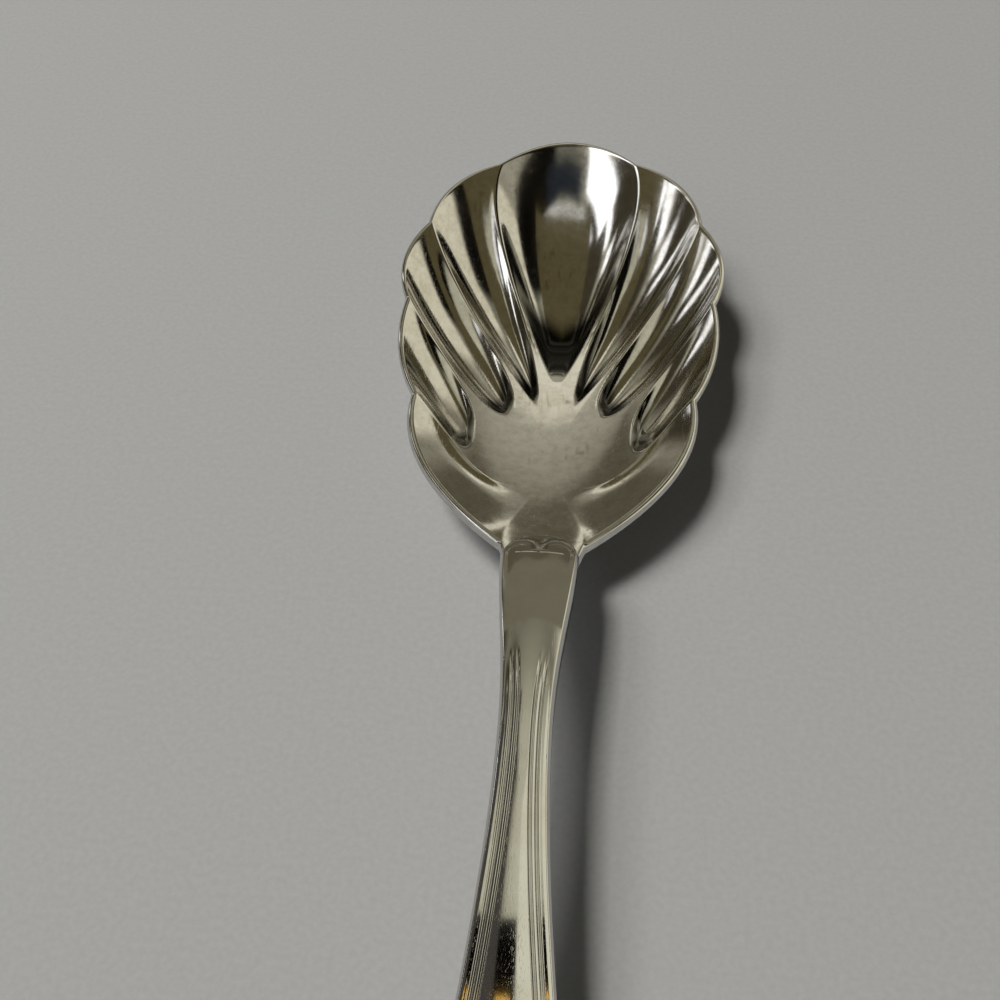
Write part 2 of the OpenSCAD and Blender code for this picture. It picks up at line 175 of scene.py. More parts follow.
def dish_normal(x, v):
    probe = 0.01 * bowl_l
    across = (dish_height(x + probe, v) - dish_height(x - probe, v)) / (2 * probe)
    along = (dish_height(x, v + probe) - dish_height(x, v - probe)) / (2 * probe)
    n = np.stack([-across, -along, np.ones_like(across)], -1)
    return n / np.linalg.norm(n, axis=-1, keepdims=True)


handle_l, end_l, first_angle = 91.0, 11.0, math.radians(8)
end_mid = handle_l - end_l
tip_over = -dish_normal(np.array(0.0), np.array(bowl_l))[1] * rim_t
heel_y = (end_mid + end_l * math.cos(first_angle) - bowl_l - tip_over) / 2
print("heel edge at y =", round(float(heel_y), 2), "mm, rim there at z =", round(heel_z, 2), "mm")

# %% [markdown]
# ## The blank of the bowl
# A real shell bowl starts as a flat blank of sheet, which a pair of dies presses. The script
# works the same way. Python lays out the flat blank: lines fan out from the palm to the rim,
# with nine flutes between ten crests and the tongue at the heel. Each point of the blank
# keeps, as attributes, what the dies need to know: how far along its line it lies, where it
# is across its flute, and on which face of the sheet it is.

# %% Crests, rim and fan lines in plan


def crest(k):
    """A crest's notch, rim pull and palm pull. Crests -5 to -1 mirror crests 4 to 0."""
    i, side = (k, 1) if k >= 0 else (-k - 1, -1)
    if i < flute_count:
        notch = [notch_out_shares[i] * half_w, notch_along_shares[i] * bowl_l]
    else:
        notch = [heel_half, 0]
    rim_pull = [rim_pull_out_shares[i] * half_w, rim_pull_along_shares[i] * bowl_l]
    palm_pull = [palm_pull_out_shares[i] * half_w, palm_pull_along_shares[i] * bowl_l]
    return np.array([notch, rim_pull, palm_pull]) * [side, 1]


def bulge(f):
    if abs(f) == flute_count:
        return 0.0
    return bulge_shares[abs(f)] * np.linalg.norm(crest(f)[0] - crest(f - 1)[0])


def chord_and_edge(f, t):
    """The point of flute f's chord and of its rim, at a share t between its two notches."""
    t = t[:, None]
    if abs(f) == flute_count:
        pulls = [np.array([o * half_w, a * bowl_l])
                 for o, a in zip(heel_lobe_out_shares, heel_lobe_along_shares)]
        way = t if f > 0 else 1 - t
        edge = bezier(crest(3)[0], *pulls, crest(4)[0], way) * [1 if f > 0 else -1, 1]
        return edge, edge
    a, b = crest(f - 1)[0], crest(f)[0]
    c = (b - a) / np.linalg.norm(b - a)
    chord = mix(a, b, t)
    return chord, chord + np.array([-c[1], c[0]]) * bulge(f) * 4 * t * (1 - t)


print("rim notches in plan, mm:", [crest(k)[0].round(1).tolist() for k in range(5)])

# %% [markdown]
# The rim of the sheet is rounded over by polishing, so the blank's rows run up the inside,
# round the edge on a half circle and back down the outside.

# %% Rows of the blank
rim_round, rim_crowding = 0.36, 0.25
inside_rows, edge_rows, outside_rows = 120, 12, 62
inside_s = ease(np.linspace(0, 1, inside_rows + 1)[1:] * 0.5 + 0.5) * 2 - 1
inside_s = mix(np.linspace(0, 1, inside_rows + 1)[1:], inside_s, rim_crowding)
outside_s = np.linspace(0, 1, outside_rows + 1)[1:][::-1]
turn = np.linspace(0, math.pi, edge_rows + 2)[1:-1]
edge_back = rim_round * (1 - np.sin(turn))
row_s = np.concatenate([inside_s, np.ones(edge_rows), outside_s])
row_back = np.concatenate([np.full(inside_rows, rim_round), edge_back, np.full(outside_rows, rim_round)])
half_turn = turn < math.pi / 2
edge_side = np.where(half_turn, rim_round * (1 - np.cos(turn)), -rim_round * (1 + np.cos(turn)))
row_drop = np.concatenate([np.zeros(inside_rows), edge_side, np.zeros(outside_rows)])
row_side = np.concatenate([np.zeros(inside_rows), np.where(half_turn, 0.0, 1.0), np.ones(outside_rows)])
print("rows of the blank:", len(row_s))

# %% The blank as a mesh with attributes
lobe_columns, heel_columns = 44, 22
flute_places = ["Across", "Start", "Palm depth", "Rim depth", "Drop share", "Flatness"]
# Painted shade in a corner, in mm from the flute's start: it starts, rises, ends and falls.
middle_corner, side_corner = (0.8, 1.2, 8.0, 4.0), (0.3, 1.2, 3.0, 2.5)
corner_strengths, corner_soft = [1, 1, 0.85, 0.45, 0], 0.15


def fan_column(pulls_a, pulls_b, t, edges):
    """Plan points of the lines at shares t between two crests, rows last but one."""
    length = np.linalg.norm(edges - fan, axis=1)
    s = row_s[None] * (1 - row_back[None] / length[:, None])
    palm, rim = (mix(pulls_a[i], pulls_b[i], t[:, None])[:, None] for i in (2, 1))
    return bezier(fan, palm, rim, edges[:, None], s[..., None]), s


def corner_shade_share(t, s, a):
    """How much painted shade a point gets in the corner where a flute drops from the palm, 0 to 1."""
    first, rise, last, fall = middle_corner if a == 0 else side_corner
    into = (s - start_shares[a]) * fan_reach
    width = np.sqrt(1 - np.exp(-2 * np.maximum(into, 0.001) / finger_l))
    out = np.abs(2 * t - 1)[:, None] / width
    deep = ease((into - first) / rise) * (1 - ease((into - last - out * fall) / fall))
    return deep * np.clip((1 - out) / corner_soft, 0, 1) * corner_strengths[a]


def lay_out_blank():
    """Every column of the blank: plan points and the attributes that the dies read."""
    columns = []
    for f in range(-flute_count, flute_count + 1):
        last = 1 if f == flute_count else 0
        t = np.linspace(0, 1, lobe_columns + 1)[: lobe_columns + last]
        chord, edge = chord_and_edge(f, t)
        plan, s = fan_column(crest(f - 1), crest(f), t, edge)
        a = abs(f)
        full_depth = bulge(f) if a < flute_count else flute_depths[a]
        places = (t, start_shares[a], flute_depths[a], full_depth * rim_depth_shares[a],
                  flute_drops[a] / fan_reach, flatness_shares[a])
        values = {**dict(zip(flute_places, places)), "fluted": 1.0,
                  "corner": corner_shade_share(t, s, a), "chord": chord, "edge": edge}
        columns.append((plan, s, values))
    t = np.linspace(0, 1, heel_columns + 1)[1:-1]
    ends = mix(np.array([tongue_w / 2, -tongue_l]), np.array([-tongue_w / 2, -tongue_l]), t[:, None])
    right, left = crest(4), crest(-5)
    right[1], left[1] = [tongue_w / 2, 0], [-tongue_w / 2, 0]
    plan, s = fan_column(right, left, t, ends)
    values = {**dict(zip(flute_places, (t, 1.0, 0.0, 0.0, 1.0, 0.0))), "fluted": 0.0,
              "corner": 0.0 * s, "chord": ends, "edge": ends}
    columns.append((plan, s, values))
    return columns


def grid_faces(columns, rows):
    """Quads over a grid of columns that closes on itself, and fans onto its two poles."""
    i, j = np.meshgrid(np.arange(columns), np.arange(rows - 1), indexing="ij")
    k = (i + 1) % columns
    quads = np.stack([i * rows + j, i * rows + j + 1, k * rows + j + 1, k * rows + j], -1).reshape(-1, 4)
    first, second = columns * rows, columns * rows + 1
    c = np.arange(columns)
    n = (c + 1) % columns
    inner = np.stack([np.full(columns, first), c * rows, n * rows], -1)
    outer = np.stack([np.full(columns, second), n * rows + rows - 1, c * rows + rows - 1], -1)
    return quads.tolist() + inner.tolist() + outer.tolist()


def make_blank():
    parts = lay_out_blank()
    rows = len(row_s)
    columns = sum(len(p[0]) for p in parts)
    plan = np.concatenate([p[0] for p in parts]).reshape(-1, 2)
    plan = np.concatenate([plan, [fan, fan]])
    points = np.column_stack([plan, np.zeros(len(plan))])
    mesh = mesh_of("bowl_blank", points.tolist(), grid_faces(columns, rows))

    def attribute(name, values, poles=(0.0, 0.0)):
        values = np.concatenate([np.asarray(values, float).ravel(), poles])
        mesh.attributes.new(name, "FLOAT", "POINT").data.foreach_set("value", values.astype(np.float32))

    attribute("run", np.concatenate([p[1] for p in parts]))
    # The share of painted shade in the flute corners, none on the outside face.
    attribute("corner", np.concatenate([p[2]["corner"] * (1 - row_side) for p in parts]))
    for name in (*flute_places, "fluted"):
        spread = [np.broadcast_to(np.reshape(p[2][name], (-1, 1)), p[1].shape) for p in parts]
        attribute(name, np.concatenate(spread))
    for name in ("chord", "edge"):
        flat = np.concatenate([np.repeat(p[2][name][:, None], rows, 1) for p in parts]).reshape(-1, 2)
        flat = np.concatenate([flat, [fan, fan]])
        data = np.column_stack([flat, np.zeros(len(flat))]).astype(np.float32)
        mesh.attributes.new(name, "FLOAT_VECTOR", "POINT").data.foreach_set("vector", data.ravel())
    attribute("face_side", np.tile(row_side, columns), (0.0, 1.0))
    attribute("edge_drop", np.tile(row_drop, columns))
    return mesh


blank = make_blank()
print("bowl blank:", len(blank.vertices), "points,", len(blank.polygons), "faces")

# %% [markdown]
# ## The dies, as Geometry Nodes
# A surface that follows a rule suits Geometry Nodes: the dish, the flutes and the metal's
# thickness are a handful of sizes and a formula. Changing one input presses a new bowl.
# Two small groups hold the formula's parts, and the main tree uses them several times.

# %% The start and end of a tree, and a group for the smooth dish
VECTOR_MATH, RAMP = "ShaderNodeVectorMath", "ShaderNodeMapRange"
COMBINE, SEPARATE = "ShaderNodeCombineXYZ", "ShaderNodeSeparateXYZ"
SMOOTH = {"interpolation_type": "SMOOTHSTEP"}
dish_sizes = {
    "Dish half width": dish_half, "Dish middle": dish_mid, "Tip reach": bowl_l * dish_tip_share,
    "Floor height": dish_floor, "Heel height": heel_z, "Rim slope": rim_slope,
    "Heel slope": heel_slope, "Dish power": dish_power}
flute_sizes = {"Finger share": finger_l / fan_reach, "Channel power": channel_power}


def new_tree(name, inputs, outputs):
    """A node group with named inputs and outputs, and the sockets of its input node."""
    tree = bpy.data.node_groups.new(name, "GeometryNodeTree")
    for direction, sockets in (("INPUT", inputs), ("OUTPUT", outputs)):
        for title, kind in sockets.items():
            tree.interface.new_socket(title, in_out=direction, socket_type="NodeSocket" + kind)
    return tree, add(tree, "NodeGroupInput", out=None).outputs


def end_tree(tree, shape, material):
    """Ends a tree: smooth shading, instances realized and the material set, as the export needs."""
    smooth = add(tree, "GeometryNodeSetShadeSmooth", [shape])
    real = add(tree, "GeometryNodeRealizeInstances", [smooth])
    dressed = add(tree, "GeometryNodeSetMaterial", {"Geometry": real, "Material": material})
    add(tree, "NodeGroupOutput", [dressed], out=None)


def dish_group():
    """Height of the smooth dish at a place, the same formula as dish_height."""
    sockets = {"Place": "Vector", **{name: "Float" for name in dish_sizes}}
    tree, given = new_tree("Dish height", sockets, {"Height": "Float"})
    place = add(tree, SEPARATE, [given["Place"]], out=None).outputs
    on = add(tree, "MAXIMUM", [place["Y"], 0.0])
    before = add(tree, "LESS_THAN", [on, given["Dish middle"]])
    longer = add(tree, "SUBTRACT", [given["Dish middle"], given["Tip reach"]])
    reach = add(tree, "MULTIPLY_ADD", [longer, before, given["Tip reach"]])
    across = add(tree, "DIVIDE", [place["X"], given["Dish half width"]])
    from_middle = add(tree, "SUBTRACT", [on, given["Dish middle"]])
    along = add(tree, "DIVIDE", [from_middle, reach])
    plan = add(tree, COMBINE, [across, along])
    radius = add(tree, VECTOR_MATH, [plan], out="Value", operation="LENGTH")
    share = add(tree, "POWER", [radius, given["Dish power"]])
    rim = add(tree, "MULTIPLY_ADD", [on, given["Rim slope"], given["Heel height"]])
    rise = add(tree, "SUBTRACT", [rim, given["Floor height"]])
    dished = add(tree, "MULTIPLY_ADD", [rise, share, given["Floor height"]])
    behind = add(tree, "MINIMUM", [place["Y"], 0.0])
    tongue_rise = add(tree, "MULTIPLY", [behind, given["Heel slope"]])
    height = add(tree, "SUBTRACT", [dished, tongue_rise])
    add(tree, "NodeGroupOutput", [height], out=None)
    return tree


dish_tree = dish_group()
print("dish group:", len(dish_tree.nodes), "nodes")

# %% [markdown]
# A flute is a rounded channel. It drops from the palm over a few millimetres, and starts
# narrow, so that the palm runs out between two flutes as a finger that thins to a crest.

# %% A group for one flute's depth


def flute_group():
    """Depth of a flute from where a point lies across it and along it."""
    names = ["Run", *flute_places, *flute_sizes]
    tree, given = new_tree("Flute depth", {n: "Float" for n in names}, {"Depth": "Float"})
    past = add(tree, "SUBTRACT", [given["Run"], given["Start"]])
    into = add(tree, "MAXIMUM", [past, 1e-6])
    fingers = add(tree, "DIVIDE", [into, given["Finger share"]])
    twice = add(tree, "MULTIPLY", [fingers, -2.0])
    finger = add(tree, "EXPONENT", [twice])
    open_share = add(tree, "SUBTRACT", [1.0, finger])
    width = add(tree, "SQRT", [open_share])
    off = add(tree, "MULTIPLY_ADD", [given["Across"], 2.0, -1.0])
    out = add(tree, "DIVIDE", [off, width])
    square = add(tree, "MULTIPLY", [out, out])
    arch = add(tree, "SUBTRACT", [1.0, square])
    arch = add(tree, "MAXIMUM", [arch, 0.0])
    arch = add(tree, "POWER", [arch, given["Channel power"]])
    flatter = add(tree, "MULTIPLY_ADD", [square, given["Flatness"], 1.0])
    channel = add(tree, "MULTIPLY", [arch, flatter])
    left = add(tree, "SUBTRACT", [1.0, given["Start"]])
    left = add(tree, "MAXIMUM", [left, 0.001])
    outward = add(tree, RAMP, [into, 0.0, left], **SMOOTH)
    deeper = add(tree, "SUBTRACT", [given["Rim depth"], given["Palm depth"]])
    full = add(tree, "MULTIPLY_ADD", [deeper, outward, given["Palm depth"]])
    dropped = add(tree, RAMP, [into, 0.0, given["Drop share"]], **SMOOTH)
    sunk = add(tree, "MULTIPLY", [channel, dropped])
    depth = add(tree, "MULTIPLY", [sunk, full])
    add(tree, "NodeGroupOutput", [depth], out=None)
    return tree


flute_tree = flute_group()
print("flute group:", len(flute_tree.nodes), "nodes")

# %% [markdown]
# The main tree sets each point's height on the inside, brings the rim onto its plane, and
# lays off the metal's thickness along the dish's own normal, as a die set does.

# %% The tree that presses the bowl
ATTRIBUTE = "GeometryNodeInputNamedAttribute"
probe, far_off = 0.01 * bowl_l, 9 * bowl_l
press_sizes = {**dish_sizes, **flute_sizes, "Heel thickness": heel_t, "Wall thickness": wall_t,
               "Rim thickness": rim_t, "Rim share": rim_thin_l / fan_reach,
               "Heel place": float(heel_y), "Unit": MM}


def press_tree():
    sockets = {"Blank": "Geometry", **{n: "Float" for n in press_sizes}, "Material": "Material"}
    tree, given = new_tree("Press the shell", sockets, {"Geometry": "Geometry"})
    kept = {name: add(tree, ATTRIBUTE, [name], out="Attribute") for name in (
        *flute_places, "run", "fluted", "face_side", "edge_drop")}
    chord, edge = (add(tree, ATTRIBUTE, [name], out="Attribute", data_type="FLOAT_VECTOR")
                   for name in ("chord", "edge"))

    def dish(place):
        values = {"Place": place, **{n: given[n] for n in dish_sizes}}
        return add(tree, "GeometryNodeGroup", values, out="Height", node_tree=dish_tree)

    def flute(run):
        values = {"Run": run, **{n: kept[n] for n in flute_places},
                  **{n: given[n] for n in flute_sizes}}
        return add(tree, "GeometryNodeGroup", values, out="Depth", node_tree=flute_tree)

    def short_of_rim(place):
        """How far the smooth dish lies below the rim's plane at a place."""
        along = add(tree, SEPARATE, [place], out="Y")
        rim = add(tree, "MULTIPLY_ADD", [along, given["Rim slope"], given["Heel height"]])
        return add(tree, "SUBTRACT", [rim, dish(place)])

    place = add(tree, "GeometryNodeInputPosition")
    lift = short_of_rim(chord)
    fixed = add(tree, "POWER", [kept["run"], fix_power])
    lift_here = add(tree, "MULTIPLY", [lift, fixed])
    short = add(tree, "SUBTRACT", [short_of_rim(edge), lift])
    rest = add(tree, "ADD", [short, flute(1.0)])
    late = add(tree, "POWER", [kept["run"], rest_power])
    rest_here = add(tree, "MULTIPLY", [rest, late])
    raised = add(tree, "ADD", [lift_here, rest_here])
    level = add(tree, "MULTIPLY_ADD", [raised, kept["fluted"], dish(place)])
    inside = add(tree, "SUBTRACT", [level, flute(kept["run"])])

    slopes = []
    for step in ((probe, 0.0, 0.0), (0.0, probe, 0.0)):
        before = add(tree, VECTOR_MATH, [place, step], operation="SUBTRACT")
        after = add(tree, VECTOR_MATH, [place, step], operation="ADD")
        slopes.append(add(tree, "SUBTRACT", [dish(before), dish(after)]))
    lean = add(tree, COMBINE, [*slopes, 2 * probe])
    normal = add(tree, VECTOR_MATH, [lean], operation="NORMALIZE")

    flat = add(tree, SEPARATE, [place], out=None).outputs
    thinner = add(tree, "SUBTRACT", [given["Wall thickness"], given["Heel thickness"]])
    on_bowl = add(tree, RAMP, [flat["Y"], 0.0, given["Dish middle"]], **SMOOTH)
    metal = add(tree, "MULTIPLY_ADD", [thinner, on_bowl, given["Heel thickness"]])
    near_rim = add(tree, "ADD", [kept["run"], given["Rim share"]])
    near_rim = add(tree, "SUBTRACT", [near_rim, 1.0])
    ground = add(tree, RAMP, [near_rim, 0.0, given["Rim share"]], **SMOOTH)
    ground = add(tree, "MULTIPLY", [ground, kept["fluted"]])
    loss = add(tree, "SUBTRACT", [given["Rim thickness"], given["Wall thickness"]])
    metal = add(tree, "MULTIPLY_ADD", [loss, ground, metal])
    down = add(tree, "MULTIPLY_ADD", [metal, kept["face_side"], kept["edge_drop"]])

    placed = add(tree, "ADD", [flat["Y"], given["Heel place"]])
    top = add(tree, COMBINE, [flat["X"], placed, inside])
    away = add(tree, VECTOR_MATH, {0: normal, "Scale": down}, operation="SCALE")
    point = add(tree, VECTOR_MATH, [top, away], operation="SUBTRACT")
    on_table = add(tree, VECTOR_MATH, [point, (-far_off, -far_off, 0.0)], operation="MAXIMUM")
    metres = add(tree, VECTOR_MATH, {0: on_table, "Scale": given["Unit"]}, operation="SCALE")
    pressed = add(tree, "GeometryNodeSetPosition", {"Geometry": given["Blank"], "Position": metres})
    end_tree(tree, pressed, given["Material"])
    return tree


shell_tree = press_tree()
print("press tree:", len(shell_tree.nodes), "nodes")

# %% [markdown]
# The tree runs on a carrier object. Only its result is kept, as a plain mesh with a name.

# %% Running a tree: the bowl


def run_tree(mesh, tree, sizes, material, name):
    """Runs a tree on a mesh with named sizes and returns a plain mesh object without modifiers."""
    carrier = in_scene(name + "_blank", mesh)
    modifier = carrier.modifiers.new(tree.name, "NODES")
    modifier.node_group = tree
    sockets = {s.name: s.identifier for s in tree.interface.items_tree if s.in_out == "INPUT"}
    for title, value in {**sizes, "Material": material}.items():
        modifier[sockets[title]] = value
    evaluated = carrier.evaluated_get(bpy.context.evaluated_depsgraph_get())
    made = bpy.data.meshes.new_from_object(evaluated)
    bpy.data.objects.remove(carrier)
    made.name = name
    return in_scene(name, made)


def box_mm(piece):
    corners = np.array([v.co for v in piece.data.vertices])
    return (corners.min(0) / MM).round(2).tolist(), (corners.max(0) / MM).round(2).tolist()


bowl_steel = bpy.data.materials.new("polished_stainless_pressed")
bowl = run_tree(blank, shell_tree, press_sizes, bowl_steel, "bowl_shell")
print("bowl:", len(bowl.data.polygons), "faces, box", box_mm(bowl))

# %% [markdown]
# ## The handle
# A real handle is struck from bar: its outline is trimmed, its face is crowned, and the dies
# leave two threads along its edge. It is lofted here from rings across it, each one a row
# of points set in from the outline. The first rows form the lobed lip that laps the bowl.

# %% Sizes and outline of the handle
neck_w, neck_at, end_w, root_t, blade_t, arch_pull = 5.0, 22.5, 14.8, 3.9, 2.0, 15.0
root_crown, blade_crown, lip_reach, lip_round_l = 0.8, 0.45, 0.8, 3.6
bead_w, groove_w, thread_w, groove_d, edge_r, under_r = 0.95, 0.38, 0.22, 0.32, 0.35, 0.45
thread_at, thread_fade = 14.5, 6.0
border_w = bead_w + 2 * groove_w + thread_w
lip_mid = lip_round_l - lip_reach
shoulder = tongue_l + braze_t
under_z = heel_z + heel_slope * shoulder - heel_t
close_angle = math.radians(1)
closing = math.cos(first_angle) / math.cos(close_angle)


def half_width(h):
    """Half of the handle's width at a distance h behind the bowl's heel edge."""
    root = mix(root_w, neck_w, (1 - np.cos(np.pi * np.maximum(0, h) / neck_at)) / 2)
    share = np.minimum(1, (h - neck_at) / (end_mid - neck_at))
    return np.where(h < neck_at, root, mix(neck_w, end_w, (1 - np.cos(np.pi * share)) / 2)) / 2


def outline(u):
    """The right half in plan: the lip's round front (0 to 1), the side (to 2) and the end (to 3)."""
    a = mix(close_angle, math.pi / 2, np.clip(u, 0, 1))
    lip = [half_width(lip_mid) * np.sin(a), lip_mid - lip_round_l * closing * np.cos(a)]
    h = mix(lip_mid, end_mid, np.clip(u - 1, 0, 1))
    b = mix(math.pi / 2, close_angle, np.clip(u - 2, 0, 1))
    end = [end_w / 2 * np.sin(b), end_mid + end_l * closing * np.cos(b)]
    return np.where(u <= 1, lip, np.where(u <= 2, [half_width(h), h], end)).T


def inset(u, d):
    """The outline set in by a distance d, square to itself."""
    probe = 0.002
    c = outline(np.minimum(3, u + probe)) - outline(np.maximum(0, u - probe))
    c = c / np.linalg.norm(c, axis=-1, keepdims=True)
    return outline(u) + np.stack([-c[..., 1], c[..., 0]], -1) * np.reshape(d, (-1, 1))


print("handle: neck", neck_w, "mm, end", end_w, "mm, border", round(border_w, 2), "mm")

# %% Heights of the handle
lobe_out, lobe_r, lobe_back = root_w * 0.235, root_w * 0.24, lip_mid * 0.9
lobe_step, lobe_valley, lobe_fade = root_w * 0.045, root_w * 0.02, root_w * 0.6
lip_hollow, lip_bead, kink_soft = 0.15, 0.45, 1.5
settle_pull, taper_l, lip_lower = blade_t * 1.7, handle_l * 0.62, heel_t * 0.3
# Painted shade at the lobes: the width of its lines in mm, the bead's share and its fade.
foot_line, bead_line, bead_shade, lobe_shade_fade = 0.14, 0.16, 0.55, 0.8
kink = 3 * (arch_pull - under_z) / (handle_l - shoulder) - heel_slope


def under_mid(h):
    """Underside along the middle: the slope of the heel, then the arch down to the table."""
    t = np.maximum(0, (h - shoulder) / (handle_l - shoulder))
    arch = bezier(under_z, arch_pull, settle_pull, -rest_sink, t)
    return np.where(h < shoulder, under_z - heel_slope * (shoulder - h), arch)


def face_height(x, h):
    """The crowned face, before its edges, lobes and threads."""
    thick = mix(root_t, blade_t, ease((h - lip_mid) / taper_l))
    thick = thick - lip_lower * ease((lip_mid - h) / lip_round_l)
    crown = mix(root_crown, blade_crown, ease(h / neck_at / 2))
    past = h - shoulder
    eased = kink * ((past + np.hypot(past, kink_soft)) / 2 - np.maximum(0, past))
    return under_mid(h) + eased + thick - crown * (x / half_width(h)) ** 2


def lobe_relief(x, h, d):
    """Two beaded lobes end the handle at the bowl, with a low crescent in front of them."""
    away = np.where(h > lobe_back, -lobe_r, np.hypot(np.abs(x) - lobe_out, h - lobe_back) - lobe_r)
    valley = lobe_valley * np.exp(-((x / lobe_out * 2) ** 2)) * (1 - ease(h / lobe_fade))
    deep = np.minimum(d, np.maximum(0, -away))
    hollow = lip_hollow * ease((deep - lip_bead) / lip_bead) * (1 - ease((h - lobe_back) / lobe_fade))
    return lobe_step * ease(away / lobe_step / 2 + 0.5) + valley + hollow


def lobe_painted_shade(x, h, d):
    """Painted shade at the foot of each lobe, and on the inner side of its bead."""
    away = np.hypot(np.abs(x) - lobe_out, h - lobe_back) - lobe_r
    foot = np.exp(-(((away - lobe_step * 0.9) / foot_line) ** 2))
    bead = np.exp(-(((np.minimum(d, -away) - lip_bead * 1.4) / bead_line) ** 2))
    return np.maximum(foot, bead_shade * bead) * (1 - ease((h - lobe_back) / lobe_shade_fade + 0.5))


def edge_round(d, radius):
    return radius * (1 - np.sin(np.pi / 2 * np.minimum(1, d / radius)))


print("arch of the handle: top at", round(float(face_height(0.0, neck_at)), 1), "mm at the neck")

# %% Rings of the handle
ring_edge = edge_r * np.linspace(0, 1, 9)[:-1] ** 1.5
ring_top = np.concatenate([ring_edge, np.linspace(edge_r, border_w, 40)])
ring_under = np.append(under_r * np.linspace(0, 1, 7)[:-1] ** 1.5, under_r)
ring_across = np.linspace(1, -1, 30)[1:-1]
flip = np.array([-1, 1])
lip_rings, lap_rings, side_rings, end_rings = 48, 9, 330, 60


def side_place(h):
    """The outline's own measure on the straight side, at a distance h behind the heel edge."""
    return 1 + (h - lip_mid) / (end_mid - lip_mid)


beside_lap = side_place(mix(lip_mid, shoulder, np.linspace(0, 1, lap_rings)[1:]))
lap_u = np.concatenate([np.linspace(0, 1, lip_rings), beside_lap])
side_u = mix(side_place(shoulder + braze_t / 2), 2, np.linspace(0, 1, side_rings))
free_u = np.concatenate([side_u, 2 + np.linspace(0, 1, end_rings)[1:]])


def ring_of(u, lap):
    """One ring: across the face from left to right, then back underneath. It gives the points,
    how far each lies inside the outline and behind the heel, where threads go, and the painted shade at
    the lobes."""
    top = inset(np.full(len(ring_top), u), ring_top)
    under = inset(np.full(len(ring_under), u), ring_under)
    ones = np.ones(len(ring_across))
    face, below = top[-1] * np.c_[-ring_across, ones], under[-1] * np.c_[ring_across, ones]
    up = np.concatenate([top * flip, face, top[::-1]])
    down = np.concatenate([under, below, under[::-1] * flip])
    d_up = np.concatenate([ring_top, np.full(len(face), border_w), ring_top[::-1]])
    d_down = np.concatenate([ring_under, np.full(len(below), under_r), ring_under[::-1]])
    z_up = face_height(*up.T) - edge_round(d_up, edge_r) - lobe_relief(*up.T, d_up)
    belly = blade_crown * 0.5 * (down[:, 0] / half_width(down[:, 1])) ** 2
    free = np.maximum(0, under_mid(down[:, 1]) + edge_round(d_down, under_r) + belly)
    z_down = dish_height(down[:, 0], -down[:, 1]) + braze_t if lap else free
    plan = np.concatenate([up, down])
    points = np.column_stack([plan[:, 0], heel_y - plan[:, 1], np.concatenate([z_up, z_down])])
    threaded = np.concatenate([np.ones(len(up)), np.zeros(len(down))])
    # The painted shade at the lobes, for the material.
    lobe_shade = np.concatenate([lobe_painted_shade(*up.T, d_up), np.zeros(len(down))])
    return points, np.concatenate([d_up, d_down]), plan[:, 1], threaded, lobe_shade


def loft(rings, a, b, c):
    """Quads along the rings, and strips from each point to its mirror image over the two ends."""
    n, m = len(rings), 2 * (a + b + c)
    i, j = np.meshgrid(np.arange(n - 1), np.arange(m), indexing="ij")
    k = (j + 1) % m
    quads = np.stack([i * m + j, i * m + k, (i + 1) * m + k, (i + 1) * m + j], -1)
    faces = quads.reshape(-1, 4).tolist()
    for base, outward in ((0, True), ((n - 1) * m, False)):
        cap = [[j, j + 1, 2 * a + c - 2 - j, 2 * a + c - 1 - j] for j in range(a - 2)]
        cap.append(list(range(a - 2, a + c + 2)))
        right = 2 * a + c
        cap += [[right + j, right + j + 1, m - 2 - j, m - 1 - j] for j in range(b - 2)]
        cap.append(list(range(right + b - 2, right + b + c + 2)))
        cap.append([right - 1, right, m - 1, 0])
        faces += [[base + v for v in (f[::-1] if outward else f)] for f in cap]
    return np.concatenate(rings), faces


rings = [ring_of(u, True) for u in lap_u] + [ring_of(u, False) for u in free_u]
points, faces = loft([r[0] for r in rings], len(ring_top), len(ring_under), len(ring_across))
handle_blank = mesh_of("handle_blank", (points * MM).tolist(), faces)
for i, name in enumerate(("inset", "behind", "threaded", "lobe_shade")):
    values = np.concatenate([r[i + 1] for r in rings]).astype(np.float32)
    handle_blank.attributes.new(name, "FLOAT", "POINT").data.foreach_set("value", values)
print("handle blank:", len(points), "points in", len(rings), "rings")

# %% [markdown]
# The threads follow the outline at fixed distances from the edge: a bead, a groove, a fine
# thread and a second groove. Geometry Nodes sink them into the crowned face, and fade them
# out towards the bowl, where the real ones run out in a point.

# %% The tree that rolls the threads
thread_sizes = {"Bead width": bead_w, "Groove width": groove_w, "Thread width": thread_w,
                "Groove depth": groove_d, "Bed share": 0.3, "Start": thread_at,
                "Fade length": thread_fade, "Unit": MM}


